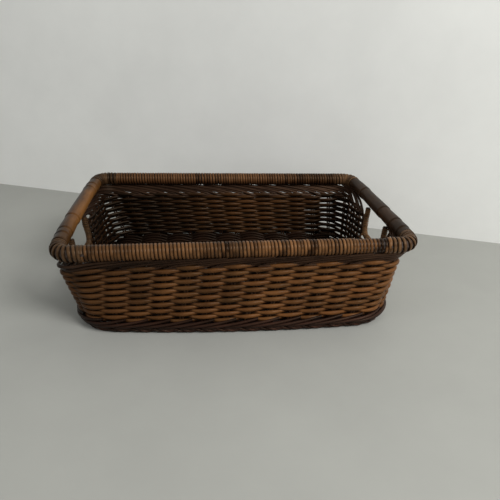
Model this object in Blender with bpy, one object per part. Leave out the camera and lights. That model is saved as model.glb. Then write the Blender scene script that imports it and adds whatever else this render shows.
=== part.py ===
# Rectangular rod basket with two hand holes, built piece by piece.
# Metres, +Z up. The origin is on the ground under the middle of the basket.
# X runs along the long sides, and the front is at -Y.

import bpy
import bmesh
from math import ceil, cos, floor, pi, sin, sqrt
from mathutils import Vector

# Clearances between pieces that touch on the real basket
fit_gap = 0.0003
row_gap = 0.00065
end_gap = 0.0006

# Rim: two long bound poles and two handle poles, scarfed together by the corners
rim_length = 0.450
rim_width = 0.311
rim_height = 0.127
rim_corner_radius = 0.026
pole_radius = 0.0088
pole_return = 0.016
scarf_slant = 0.010
binding_thickness = 0.0018
binding_ridge = 0.0006
binding_pitch = 0.0155
corner_binding_start = 0.014
handle_cover_length = 0.236
cover_step = 0.0004
cover_step_length = 0.0020
cover_band_shares = (0.0, 0.10, 0.36, 0.88, 1.0)

# Stake line: where the upright rods stand, inside the rim and a little further
# in at the foot, with rounder corners there, but long sides that bow outwards
rim_overhang = 0.0177
wall_spread = 0.0034
foot_bow = 0.012
foot_line_radius = 0.049
top_line_radius = 0.018

# Out of true: the ends bow outwards towards the rim, and at the front the right
# corner stands higher than the left one
end_bow = 0.0065
end_step = 0.017
right_corner_rise = 0.005
left_corner_drop = 0.0035

# Upright stakes: rods bent to and fro, so that they stand in pairs and lean a
# little, and their bent tops make a slanting band under the rim
stake_radius = 0.0014
stake_pair_spacing = 0.0275
first_pair_share = 0.9
stake_lean_share = 0.2
throat_drop = 0.0123
throat_outset = 0.007

# Side weavers, one rod a row
weaver_radius = 0.00195
weave_slack = 0.0005
first_row_rise = 0.0046
sharp_turn_share = 0.6
corner_swing_share = 0.6

# Hand holes in the two ends, nearer the front than the back, each edged by a bound
# U-shaped rod
hole_width = 0.0716
hole_pairs_forward = 1
hole_height = 0.0355
hole_corner_radius = 0.012
hole_corner_steps = 3
hole_pair_reach = 2
hole_pair_shift_share = 0.10
hole_frame_radius = 0.0028
hole_binding_thickness = 0.0014
hole_binding_ridge = 0.0004
hole_binding_pitch = 0.0100

# Foot border: two twisted strands along each side, worn flat underneath
strand_radius = 0.0027
strand_wear = 0.0008
strand_end_gap = 0.0012
strand_steps_per_twist = 4
pairs_per_twist = 2

# Base: two rails, cross sticks and one weaver going to and fro
rail_radius = 0.0040
stick_radius = 0.0026
stick_spacing = 0.043
stick_end_room = 0.012
base_weaver_radius = 0.0024
base_row_spacing = 0.0145

# Arcs are drawn with this many steps
arc_steps = 5

# Colours and gloss of the stained rods
stake_brown = (0.060, 0.034, 0.022)
weaver_brown = (0.165, 0.078, 0.038)
upper_weaver_brown = (0.180, 0.088, 0.040)
cane_brown = (0.270, 0.150, 0.072)
corner_cane_brown = (0.200, 0.115, 0.065)
handle_brown = (0.215, 0.105, 0.042)
pole_brown = (0.110, 0.060, 0.034)
foot_red = (0.090, 0.034, 0.026)
base_brown = (0.120, 0.062, 0.034)
cane_gloss = 0.40
rod_gloss = 0.50
no_metal = 0.0

# Sizes that follow from the ones above
bound_radius = pole_radius + binding_thickness
binding_bore = pole_radius + fit_gap
pole_height = rim_height - bound_radius
rim_line = (
    rim_length - 2 * bound_radius,
    rim_width - 2 * bound_radius,
    rim_corner_radius - bound_radius,
)
rim_arc = rim_line[2] * pi / 2
long_half = rim_line[0] / 2 - rim_line[2]
short_half = rim_line[1] / 2 - rim_line[2]
pair_offset = stake_radius + fit_gap / 2
weave_reach = stake_radius + weaver_radius + fit_gap
row_pitch = 2 * weaver_radius + row_gap
top_line_length = rim_length - 2 * rim_overhang
top_line_width = rim_width - 2 * rim_overhang
foot_line_length = top_line_length - 2 * wall_spread
foot_line_width = top_line_width - 2 * wall_spread
hole_bound_radius = hole_frame_radius + hole_binding_thickness
hole_leg_reach = hole_width / 2 + hole_bound_radius
twist_radius = (strand_radius + fit_gap / 2) / cos(pi / strand_steps_per_twist)
border_radius = twist_radius + strand_radius
border_height = border_radius - strand_wear
stake_foot = border_height + border_radius + fit_gap
stake_top = rim_height - 2 * bound_radius - fit_gap
throat_height = stake_top - throat_drop
hole_sill_height = stake_top - hole_height
hole_frame_height = hole_sill_height - hole_bound_radius
bend_drop = stake_radius * (1 - cos(pi / 4))
cut_stake_top = hole_frame_height - hole_bound_radius - fit_gap + bend_drop
lean_height = (hole_sill_height + stake_top) / 2
first_row_height = stake_foot + first_row_rise
band_reach = 2 * stake_radius + weaver_radius + fit_gap
lower_rows = floor((cut_stake_top - band_reach - first_row_height) / row_pitch) + 1
all_rows = floor((throat_height - weaver_radius - first_row_height) / row_pitch) + 1

# Pairs are counted counterclockwise from the middle of the front side, an odd number
# of them in each half. A cut pair stands under the middle of each hand hole.
foot_arc = foot_line_radius * pi / 2
foot_straights = foot_line_length + foot_line_width - 4 * foot_line_radius
half_foot_line = foot_straights + 2 * foot_arc
half_round = 2 * round((half_foot_line / stake_pair_spacing - 1) / 2) + 1
stake_pairs = 2 * half_round
corner_place = foot_line_length / 2 - foot_line_radius + foot_arc / 2
pairs_to_corner = floor(corner_place / half_foot_line * half_round - 1 / 2)
right_hole_pair = half_round // 2 - hole_pairs_forward
left_hole_pair = half_round + half_round // 2 + hole_pairs_forward
corner_pairs = {
    "front_right": pairs_to_corner,
    "back_right": half_round - 1 - pairs_to_corner,
    "back_left": half_round + pairs_to_corner,
    "front_left": stake_pairs - 1 - pairs_to_corner,
}
hole_turns = {
    "right": (right_hole_pair + first_pair_share) / stake_pairs,
    "left": (left_hole_pair + first_pair_share) / stake_pairs,
}
level = Vector((0, 0, 1))
endways = Vector((1, 0, 0))


def clear_scene():
    for old in list(bpy.data.objects):
        bpy.data.objects.remove(old, do_unlink=True)


def rod_material(name, colour, gloss):
    material = bpy.data.materials.new(name)
    material.use_nodes = True
    shader = material.node_tree.nodes["Principled BSDF"]
    shader.inputs["Base Color"].default_value = (*colour, 1.0)
    shader.inputs["Roughness"].default_value = gloss
    shader.inputs["Metallic"].default_value = no_metal
    return material


# Plan outlines are rounded rectangles (length, width, corner radius), walked
# counterclockwise from the middle of the front side. A turn is one whole round.

def outline_length(line):
    length, width, radius = line
    return 2 * (length + width) - 8 * radius + 2 * pi * radius


def outline_place(distance, line):
    """Return the point and the outward direction at a distance along an outline."""
    length, width, radius = line
    arc = radius * pi / 2
    legs = (length - 2 * radius, width - 2 * radius) * 2
    centre = (length / 2 - radius, width / 2 - radius)
    signs = ((1, -1), (1, 1), (-1, 1), (-1, -1))
    left = (distance + legs[0] / 2) % outline_length(line)
    for side, leg in enumerate(legs):
        heading = side * pi / 2
        along = Vector((cos(heading), sin(heading), 0))
        out = Vector((sin(heading), -cos(heading), 0))
        middle = Vector((signs[side][0] * centre[0], signs[side][1] * centre[1], 0))
        if left <= leg:
            return middle + out * radius + along * (left - leg), out
        left -= leg
        if left <= arc or side == len(legs) - 1:
            angle = heading - pi / 2 + left / radius
            out = Vector((cos(angle), sin(angle), 0))
            return middle + out * radius, out
        left -= arc


def outline_stops(line, start, end):
    """List the distances where a path along an outline needs a point."""
    length, width, radius = line
    arc = radius * pi / 2
    legs = (length - 2 * radius, width - 2 * radius) * 2
    stops = [start, end]
    for turn in (-1, 0, 1):
        place = turn * outline_length(line) - legs[0] / 2
        for leg in legs:
            place += leg
            stops += [place + arc * step / arc_steps for step in range(arc_steps + 1)]
            place += arc
    return sorted(stop for stop in set(stops) if start <= stop <= end)


def stake_line(height):
    """Return the outline on which the stakes stand at a height."""
    share = min(height, stake_top) / stake_top
    rise = max(0, height - throat_height) / (stake_top - throat_height)
    spread = throat_outset * rise
    length = foot_line_length + (top_line_length - foot_line_length) * share
    width = foot_line_width + (top_line_width - foot_line_width) * share
    radius = foot_line_radius + (top_line_radius - foot_line_radius) * share
    return length + 2 * spread, width + 2 * spread, radius + spread


def bow_at(x, height):
    """Return how far a long side bows outwards, most in the middle of its foot."""
    across = 1 - min(1, abs(2 * x / foot_line_length)) ** 2
    return foot_bow * across * max(0, 1 - height / throat_height)


def bowed_place(distance, line, height):
    """Return a point of the bowed wall and the outward direction there."""
    place, outward = outline_place(distance, line)
    bow = bow_at(place.x, height) * (1 if place.y > 0 else -1)
    return place + Vector((0, bow, height)), outward


def wall_place(turn, height, along=0):
    """Return a point of the leaning wall and the outward direction there."""
    line = stake_line(height)
    lean = stake_lean_share * (height - lean_height)
    return bowed_place(turn * outline_length(line) + lean + along, line, height)


def wall_point(turn, height, out=0, along=0):
    """Return a point of the wall, moved outwards and along from the stake line."""
    place, outward = wall_place(turn, height, along)
    return place + outward * out


def rim_path(start, end):
    """Return the points of the rim's middle line between two distances."""
    lift = Vector((0, 0, pole_height))
    stops = outline_stops(rim_line, start, end)
    return with_end_steps([outline_place(stop, rim_line)[0] + lift for stop in stops])


def with_end_steps(path):
    """Add points along the straights of the two ends, so that they can bow."""
    filled = path[:1]
    for before, after in zip(path, path[1:]):
        parts = max(1, ceil(abs(after.y - before.y) / end_step))
        filled += [before.lerp(after, part / parts) for part in range(1, parts + 1)]
    return filled


# Solids that follow a path: rings of points joined by faces

def path_length(path):
    return sum((after - before).length for before, after in zip(path, path[1:]))


def path_point(path, distance):
    for before, after in zip(path, path[1:]):
        step = (after - before).length
        if distance <= step or after is path[-1]:
            return before + (after - before) * (distance / step)
        distance -= step


def ring_vertex(mesh, path, distance, radius, angle, facing, slant=0):
    """Add a vertex at an angle round the path, a quarter turn being the facing."""
    before = path_point(path, max(0, distance - radius / 2))
    after = path_point(path, min(path_length(path), distance + radius / 2))
    along = (after - before).normalized()
    across = along.cross(facing).normalized()
    up = across.cross(along)
    place = path_point(path, distance) + (across * cos(angle) + up * sin(angle)) * radius
    return mesh.verts.new(place + along * slant * sin(angle))


def ring(mesh, path, distance, radius, sides, facing, slant=0):
    angles = [2 * pi * side / sides for side in range(sides)]
    return [ring_vertex(mesh, path, distance, radius, angle, facing, slant)
            for angle in angles]


def join_rings(mesh, rings):
    for first, second in zip(rings, rings[1:]):
        for side in range(len(first)):
            after = (side + 1) % len(first)
            mesh.faces.new((first[side], first[after], second[after], second[side]))


def out_of_true(place):
    """Return where a point of the straight basket lies on the hand-bent one."""
    along, across = 2 * place.x / rim_length, 2 * place.y / rim_width
    share = (place.z - first_row_height) / (stake_top - first_row_height)
    share = max(0, min(1, share))
    endways_share = min(1, abs(2 * place.x / foot_line_length)) ** 3
    bow = end_bow * endways_share * max(0, 1 - across ** 4)
    middle_rise = (right_corner_rise - left_corner_drop) / 2
    rise = middle_rise + (right_corner_rise + left_corner_drop) / 2 * along
    front_share = ((1 - across) / 2) ** 2
    moved = Vector((bow if place.x > 0 else -bow, 0, rise * front_share))
    return place + moved * share


def path_stops(path):
    return [path_length(path[:count]) for count in range(1, len(path) + 1)]


def mesh_object(name, mesh, material):
    bmesh.ops.recalc_face_normals(mesh, faces=mesh.faces)
    for vertex in mesh.verts:
        vertex.co = out_of_true(vertex.co)
    data = bpy.data.meshes.new(name)
    mesh.to_mesh(data)
    mesh.free()
    data.shade_smooth()
    data.materials.append(material)
    piece = bpy.data.objects.new(name, data)
    bpy.context.collection.objects.link(piece)
    return piece


def pole(name, path, radius, material, facing=level, sides=8, slant=0):
    """Make a solid pole along a path, with a flat end that may slant."""
    mesh = bmesh.new()
    stops = path_stops(path)
    rings = [ring(mesh, path, stops[0], radius, sides, facing, slant)]
    rings += [ring(mesh, path, stop, radius, sides, facing) for stop in stops[1:-1]]
    rings.append(ring(mesh, path, stops[-1], radius, sides, facing, slant))
    join_rings(mesh, rings)
    mesh.faces.new(rings[0])
    mesh.faces.new(rings[-1])
    return mesh_object(name, mesh, material)


def stepped_sleeve(name, path, bore, outline, material, sides=8):
    """Make a sleeve round a straight path, its outline given from end to end."""
    mesh = bmesh.new()
    rings = [ring(mesh, path, *outline[0], sides, level)]
    for (before, first), (after, last) in zip(outline, outline[1:]):
        parts = max(1, ceil((after - before) / end_step))
        for part in range(1, parts + 1):
            stop = before + (after - before) * part / parts
            radius = first + (last - first) * part / parts
            rings.append(ring(mesh, path, stop, radius, sides, level))
    rings += [ring(mesh, path, stop, bore, sides, level) for stop in path_stops(path)[::-1]]
    join_rings(mesh, rings + rings[:1])
    return mesh_object(name, mesh, material)


def wound_sleeve(name, path, bore, radius, ridge, pitch, material, facing=level, sides=8):
    """Make a close-wound binding: one ridge climbs round the path without a break."""
    mesh = bmesh.new()
    length = path_length(path)
    start = ring(mesh, path, 0, radius - ridge, sides, facing)
    end = ring(mesh, path, length, radius - ridge, sides, facing)
    wound = {}

    def wound_vertex(half_turn, side):
        if side == sides:
            return wound_vertex(half_turn + 2, 0)
        distance = (half_turn / 2 + side / sides) * pitch
        if distance < pitch / sides:
            return start[side]
        if distance > length - pitch / sides:
            return end[side]
        if (half_turn, side) not in wound:
            outer = radius - ridge * (half_turn % 2)
            angle = 2 * pi * side / sides
            wound[half_turn, side] = ring_vertex(mesh, path, distance, outer, angle, facing)
        return wound[half_turn, side]

    for half_turn in range(-3, int(2 * length / pitch) + 3):
        for side in range(sides):
            corners = dict.fromkeys((
                wound_vertex(half_turn, side),
                wound_vertex(half_turn, side + 1),
                wound_vertex(half_turn + 1, side + 1),
                wound_vertex(half_turn + 1, side),
            ))
            if len(corners) > 2:
                mesh.faces.new(list(corners))
    inner = [ring(mesh, path, stop, bore, sides, facing) for stop in path_stops(path)[::-1]]
    join_rings(mesh, [end] + inner + [start])
    return mesh_object(name, mesh, material)


def rod(name, path, radius, material, extra_sides=0):
    """Make a thin rod along a path, with filled ends."""
    curve = bpy.data.curves.new(name, "CURVE")
    curve.dimensions = "3D"
    curve.twist_mode = "Z_UP"
    curve.bevel_depth = radius
    curve.bevel_resolution = extra_sides
    curve.use_fill_caps = True
    spline = curve.splines.new("POLY")
    spline.points.add(len(path) - 1)
    for point, place in zip(spline.points, path):
        point.co = (*out_of_true(place), 1.0)
    curve.materials.append(material)
    piece = bpy.data.objects.new(name, curve)
    bpy.context.collection.objects.link(piece)
    return piece


def cut_with(piece, cutter):
    """Cut a piece with another object, which is then left out of the model."""
    cut = piece.modifiers.new(cutter.name, "BOOLEAN")
    cut.operation = "DIFFERENCE"
    cut.solver = "EXACT"
    cut.object = cutter
    cutter.hide_render = True
    cutter.display_type = "WIRE"


# Rim

def make_rim_poles(material):
    """Make the long poles, bent round the corners, and the handle poles between."""
    reach = long_half + rim_arc + pole_return
    half = short_half - pole_return - end_gap
    half_round_length = outline_length(rim_line) / 2
    middles = {
        "front_rim_pole": (0, reach),
        "right_handle_pole": (half_round_length / 2, half),
        "back_rim_pole": (half_round_length, reach),
        "left_handle_pole": (half_round_length * 3 / 2, half),
    }
    for name, (middle, half_length) in middles.items():
        path = rim_path(middle - half_length, middle + half_length)
        pole(name, path, pole_radius, material, slant=scarf_slant)


def make_bindings(long_material, corner_material):
    half_round_length = outline_length(rim_line) / 2
    straight = long_half - corner_binding_start
    shape = (binding_bore, bound_radius, binding_ridge, binding_pitch)
    for side, middle in (("front", 0), ("back", half_round_length)):
        path = rim_path(middle - straight, middle + straight)
        wound_sleeve(side + "_rim_binding", path, *shape, long_material)
    near = straight + end_gap
    far = half_round_length / 2 - handle_cover_length / 2 - end_gap
    spans = {
        "front_right": (near, far),
        "back_right": (half_round_length - far, half_round_length - near),
        "back_left": (half_round_length + near, half_round_length + far),
        "front_left": (-far, -near),
    }
    for corner, (start, end) in spans.items():
        path = rim_path(start, end)
        wound_sleeve(corner + "_corner_binding", path, *shape, corner_material)


def make_handle_covers(material):
    """Cover the middle of each handle pole with overlapping bands of bark."""
    outline = []
    for start, end in zip(cover_band_shares, cover_band_shares[1:]):
        band_end = end * handle_cover_length - cover_step_length
        outline.append((start * handle_cover_length, bound_radius))
        outline.append((band_end, bound_radius - cover_step))
    outline[-1] = (handle_cover_length, bound_radius - cover_step)
    for side, x_side in (("right", 1), ("left", -1)):
        middle = Vector((x_side * rim_line[0] / 2, 0, pole_height))
        half = Vector((0, handle_cover_length / 2, 0))
        path = with_end_steps([middle - half, middle + half])
        stepped_sleeve(side + "_handle_cover", path, binding_bore, outline, material)


# Hand holes

def leg_points(turn, along):
    """Return the upper points of a leg, which goes straight up to the handle."""
    throat = wall_point(turn, throat_height, along=along)
    aside = rim_line[0] / 2 - abs(throat.x) - hole_bound_radius * cos(pi / 6)
    under_handle = pole_height - sqrt((bound_radius + fit_gap) ** 2 - aside ** 2)
    return [throat + level * (under_handle - throat_height), throat]


def hole_path(turn):
    """Return the U-shaped path of a hole's frame, down one side and up the other."""
    corner_height = hole_frame_height + hole_corner_radius
    corner_reach = hole_leg_reach - hole_corner_radius
    path = leg_points(turn, -hole_leg_reach)
    for side, first in ((-1, pi), (1, 3 * pi / 2)):
        for step in range(hole_corner_steps + 1):
            angle = first + pi / 2 * step / hole_corner_steps
            reach = side * corner_reach + hole_corner_radius * cos(angle)
            height = corner_height + hole_corner_radius * sin(angle)
            path.append(wall_point(turn, height, along=reach))
    return path + leg_points(turn, hole_leg_reach)[::-1]


def make_hole_frames(frame_material, binding_material):
    bore = hole_frame_radius + fit_gap
    shape = (bore, hole_bound_radius, hole_binding_ridge, hole_binding_pitch)
    for side, turn in hole_turns.items():
        path = hole_path(turn)
        pole(side + "_hole_frame", path, hole_frame_radius, frame_material, endways, 6)
        name = side + "_hole_binding"
        wound_sleeve(name, path, *shape, binding_material, endways, 6)


# Stakes

def pair_turn(pair):
    """Return a pair's place; the pairs beside a hole stand a little nearer to it."""
    place = pair + first_pair_share
    for hole_pair in (right_hole_pair, left_hole_pair):
        from_hole = pair % stake_pairs - hole_pair
        if abs(from_hole) == hole_pair_reach:
            place -= hole_pair_shift_share * from_hole / hole_pair_reach
    return place / stake_pairs


def stake_path(pairs, rows, top):
    """Return the path of a rod that goes down and up again in every pair."""
    foot = stake_foot + stake_radius
    band_foot = row_height(rows - 1) + weave_reach
    path = []
    for pair in pairs:
        turn = pair_turn(pair)
        rise = [foot, band_foot]
        if pair_bend(pair, foot) > 0:
            rise = [foot, (2 * foot + band_foot) / 3, (foot + 2 * band_foot) / 3, band_foot]
        path.append(wall_point(turn, top - stake_radius, along=-pair_offset))
        path += [wall_point(turn, height, along=-pair_offset) for height in rise[::-1]]
        path += [wall_point(turn, height, along=pair_offset) for height in rise]
        if pair != pairs[-1] and is_sharp(pair, pair + 1, top):
            middle = (band_foot + top - stake_radius) / 2
            path.append(wall_point((turn + pair_turn(pair + 1)) / 2, middle))
    last = pair_turn(pairs[-1])
    path.append(wall_point(last, top - stake_radius, along=pair_offset))
    return path


def make_stake_rod(name, pairs, rows, top, material):
    """Bend one rod through some pairs, its rings facing out from the wall."""
    first_out = wall_place(pair_turn(pairs[0]), top)[1]
    last_out = wall_place(pair_turn(pairs[-1]), top)[1]
    path = stake_path(pairs, rows, top)
    pole(name, path, stake_radius, material, first_out + last_out, 4)


def make_stakes(material):
    front_right, back_right, back_left, front_left = corner_pairs.values()
    full = {
        "front": range(front_left + 1 - stake_pairs, front_right),
        "right_front": range(front_right, right_hole_pair - hole_pair_reach + 1),
        "right_back": range(right_hole_pair + hole_pair_reach, back_right + 1),
        "back": range(back_right + 1, back_left),
        "left_back": range(back_left, left_hole_pair - hole_pair_reach + 1),
        "left_front": range(left_hole_pair + hole_pair_reach, front_left + 1),
    }
    for side, pairs in full.items():
        make_stake_rod(side + "_stake_rod", pairs, all_rows, stake_top, material)
    for side, middle in (("right", right_hole_pair), ("left", left_hole_pair)):
        pairs = range(middle - hole_pair_reach + 1, middle + hole_pair_reach)
        make_stake_rod(side + "_sill_stake_rod", pairs, lower_rows, cut_stake_top, material)


# Side weavers

def row_height(row):
    return first_row_height + row * row_pitch


def pair_spacing():
    return outline_length(stake_line(stake_foot)) / stake_pairs


def weave_swing():
    """Return how far a weaver passes outside or inside the stake line."""
    straight = 1 - 2 * pair_offset / pair_spacing()
    slope = 2 * weave_reach / pair_spacing()
    return weave_reach / sqrt(straight ** 2 - slope ** 2) + weave_slack


def weave_side(pair, row):
    """Say whether a row passes outside a pair (1) or inside it (-1)."""
    return 1 if (pair + row) % 2 else -1


def wall_bend(turn, next_turn, height):
    """Return the angle by which the wall bends between two places."""
    return wall_place(turn, height)[1].angle(wall_place(next_turn, height)[1])


def is_sharp(pair, following, height):
    bend = wall_bend(pair_turn(pair), pair_turn(following), height)
    return bend > sharp_turn_share * pi / 2


def pair_bend(pair, height):
    """Return how much the wall bends where a pair stands."""
    half_step = 1 / stake_pairs / 2
    return wall_bend(pair_turn(pair) - half_step, pair_turn(pair) + half_step, height)


def weave_out(pair, row):
    """Return how far out a row passes a pair, more where it rounds a corner."""
    side = weave_side(pair, row)
    widening = corner_swing_share * pair_bend(pair, row_height(row)) * max(0, side)
    return side * weave_swing() * (1 + widening)


def woven_run(pairs, row, first_along=0, last_along=0):
    """Return a row's path past some pairs, with a point more at a sharp corner."""
    height = row_height(row)
    path = []
    for count, pair in enumerate(pairs):
        turn = pair_turn(pair)
        out = weave_out(pair, row)
        along = first_along if count == 0 else 0
        if count == len(pairs) - 1:
            along = last_along
        path.append(wall_point(turn, height, out, along))
        if count < len(pairs) - 1 and is_sharp(pair, pairs[count + 1], height):
            path.append(wall_point((turn + pair_turn(pairs[count + 1])) / 2, height))
    return path


def hairpin(pair, row, heading):
    """Return the points where a rod turns round a pair into the next row."""
    radius = weave_reach / cos(pi / 6)
    path = []
    for step, angle in enumerate((pi / 3, 0, -pi / 3)):
        along = heading * (pair_offset + radius * cos(angle))
        out = weave_side(pair, row) * radius * sin(angle)
        height = row_height(row) + row_pitch * (step + 1) / 4
        path.append(wall_point(pair_turn(pair), height, out, along))
    return path


def make_lower_weavers(material):
    """Make the full rows: each rod goes right round and butts behind one pair."""
    slope = 2 * weave_swing() / pair_spacing()
    seam = weaver_radius * slope + fit_gap
    for row in range(lower_rows):
        first = left_hole_pair - hole_pair_reach + (left_hole_pair + row) % 2
        pairs = range(first, first + stake_pairs + 1)
        path = woven_run(pairs, row, seam, -seam)
        rod(f"lower_weaver_{row + 1:02d}", path, weaver_radius, material)


def make_upper_weavers(material):
    """Make the rows between the hand holes, each one rod turning back at both."""
    runs = {
        "front": (left_hole_pair - stake_pairs, right_hole_pair),
        "back": (right_hole_pair, left_hole_pair),
    }
    for side, (from_hole, to_hole) in runs.items():
        pairs = list(range(from_hole + hole_pair_reach, to_hole - hole_pair_reach + 1))
        path = []
        heading = 1
        for row in range(lower_rows, all_rows):
            path += woven_run(pairs[::heading], row)
            if row < all_rows - 1:
                path += hairpin(pairs[::heading][-1], row, heading)
            heading = -heading
        rod(side + "_upper_weaver", path, weaver_radius, material)


# Foot border

def strand_path(start, end, phase):
    """Return a strand's path, which crests under every other pair of stakes."""
    line = stake_line(border_height)
    twist = pairs_per_twist * outline_length(line) / stake_pairs
    step = twist / strand_steps_per_twist
    crest = first_pair_share * outline_length(line) / stake_pairs
    crest += stake_lean_share * (stake_foot - lean_height)
    inner_steps = range(ceil((start - crest) / step), floor((end - crest) / step) + 1)
    path = []
    for stop in [start] + [crest + count * step for count in inner_steps] + [end]:
        place, outward = bowed_place(stop, line, border_height)
        angle = 2 * pi * (stop - crest) / twist + pi / 2 + phase
        lift = Vector((0, 0, twist_radius * sin(angle)))
        path.append(place + outward * twist_radius * cos(angle) + lift)
    return path


def make_foot_border(material):
    line = stake_line(border_height)
    corner_arc = line[2] * pi / 2
    long_reach = line[0] / 2 - line[2] + corner_arc / 2 - strand_end_gap
    short_reach = line[1] / 2 - line[2] + corner_arc / 2 - strand_end_gap
    quarter = outline_length(line) / 4
    ground = make_ground_cutter(line, material)
    sides = {
        "front": (0, long_reach),
        "right": (quarter, short_reach),
        "back": (2 * quarter, long_reach),
        "left": (3 * quarter, short_reach),
    }
    for side, (middle, reach) in sides.items():
        for order, phase in (("first", 0), ("second", pi)):
            path = strand_path(middle - reach, middle + reach, phase)
            strand = rod(f"{side}_{order}_foot_strand", path, strand_radius, material)
            cut_with(as_mesh(strand), ground)


def make_ground_cutter(line, material):
    """Make the block under the ground that trims the strands flat."""
    mesh = bmesh.new()
    bmesh.ops.create_cube(mesh, size=1)
    length = line[0] + 4 * border_radius
    width = line[1] + 2 * foot_bow + 4 * border_radius
    bmesh.ops.scale(mesh, vec=(length, width, 2 * border_radius), verts=mesh.verts)
    bmesh.ops.translate(mesh, vec=(0, 0, -border_radius), verts=mesh.verts)
    return mesh_object("ground_cutter", mesh, material)


def as_mesh(curve_piece):
    """Swap a curve object for a mesh object of the same name and shape."""
    name = curve_piece.name
    data = bpy.data.meshes.new_from_object(curve_piece)
    curve_piece.name = name + "_curve"
    bpy.data.objects.remove(curve_piece, do_unlink=True)
    piece = bpy.data.objects.new(name, data)
    bpy.context.collection.objects.link(piece)
    return piece


# Base

def reach_at(place, half_along, half_across, radius):
    """Return how far a rounded rectangle reaches across at a place along it."""
    past = abs(place) - (half_along - radius)
    if past <= 0:
        return half_across
    return half_across - radius + sqrt(max(0, radius ** 2 - past ** 2))


def make_base(material):
    rail_height = border_height
    stick_height = rail_height + rail_radius + fit_gap + stick_radius
    line = stake_line(stick_height)
    inset = weave_swing() + weaver_radius + 2 * end_gap
    half_length = line[0] / 2 - inset
    half_width = line[1] / 2 - inset
    radius = line[2] - inset
    rail_y = foot_line_width / 2 - border_radius - fit_gap - rail_radius
    rail_half = foot_line_length / 2 - foot_line_radius
    for side, y_side in (("front", -1), ("back", 1)):
        path = []
        for step in range(-arc_steps, arc_steps + 1):
            x = rail_half * step / arc_steps
            y = y_side * (rail_y + bow_at(x, rail_height))
            path.append(Vector((x, y, rail_height)))
        pole(side + "_base_rail", path, rail_radius, material)
    last = floor((half_length - stick_end_room) / stick_spacing)
    stick_places = [count * stick_spacing for count in range(-last, last + 1)]
    for count, x in enumerate(stick_places):
        reach = reach_at(x, half_length, half_width, radius) + bow_at(x, stick_height)
        ends = [Vector((x, y, stick_height)) for y in (-reach, reach)]
        rod(f"base_stick_{count + 1}", ends, stick_radius, material, 1)
    make_base_weaver(material, stick_places, stick_height, half_length, half_width, radius)


def make_base_weaver(material, stick_places, stick_height, half_length, half_width, radius):
    """Weave one rod to and fro over and under the cross sticks."""
    rail_edge = foot_line_width / 2 - border_radius - 2 * rail_radius - 2 * fit_gap
    swing = stick_radius + base_weaver_radius + fit_gap
    swing /= cos(2 * swing / stick_spacing)
    last = floor((rail_edge - base_weaver_radius) / base_row_spacing)
    path = []
    heading = 1
    for row in range(-last, last + 1):
        row_y = row * base_row_spacing
        end_x = reach_at(row_y, half_width, half_length, radius) - base_weaver_radius
        for count, x in list(enumerate(stick_places))[::heading]:
            z = stick_height + (swing if (count + row) % 2 else -swing)
            y = row_y * (1 + bow_at(x, stick_height) / rail_edge)
            if x == heading * stick_places[0]:
                path.append(Vector((-heading * end_x, y, z)))
            path.append(Vector((x, y, z)))
            if x == heading * stick_places[-1]:
                path.append(Vector((heading * end_x, y, z)))
        heading = -heading
    rod("base_weaver", path, base_weaver_radius, material)


def make_basket():
    clear_scene()
    pole_wood = rod_material("pole_wood", pole_brown, rod_gloss)
    long_cane = rod_material("long_cane", cane_brown, cane_gloss)
    corner_cane = rod_material("corner_cane", corner_cane_brown, cane_gloss)
    make_rim_poles(pole_wood)
    make_bindings(long_cane, corner_cane)
    make_handle_covers(rod_material("handle_bark", handle_brown, cane_gloss))
    make_hole_frames(pole_wood, corner_cane)
    make_stakes(rod_material("stake_rod", stake_brown, rod_gloss))
    make_lower_weavers(rod_material("lower_rod", weaver_brown, rod_gloss))
    make_upper_weavers(rod_material("upper_rod", upper_weaver_brown, rod_gloss))
    make_foot_border(rod_material("foot_rod", foot_red, rod_gloss))
    make_base(rod_material("base_rod", base_brown, rod_gloss))


make_basket()
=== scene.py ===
from math import cos, exp, pi, sin, sqrt

import bpy
from mathutils import Matrix, Vector, noise


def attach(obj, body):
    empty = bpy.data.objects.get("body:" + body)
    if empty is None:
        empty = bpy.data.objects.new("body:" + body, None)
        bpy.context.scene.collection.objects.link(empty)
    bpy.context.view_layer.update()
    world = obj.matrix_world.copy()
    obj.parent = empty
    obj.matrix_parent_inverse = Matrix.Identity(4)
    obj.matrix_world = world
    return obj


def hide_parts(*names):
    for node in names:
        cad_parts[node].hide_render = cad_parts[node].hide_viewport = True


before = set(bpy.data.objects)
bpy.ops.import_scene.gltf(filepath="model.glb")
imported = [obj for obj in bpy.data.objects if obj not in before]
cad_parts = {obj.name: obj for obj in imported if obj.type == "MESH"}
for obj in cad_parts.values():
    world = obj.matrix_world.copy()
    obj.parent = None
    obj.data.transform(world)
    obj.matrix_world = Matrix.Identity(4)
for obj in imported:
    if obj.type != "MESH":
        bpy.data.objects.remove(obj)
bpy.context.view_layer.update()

print("frame loaded:", len(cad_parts), "nodes")

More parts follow.
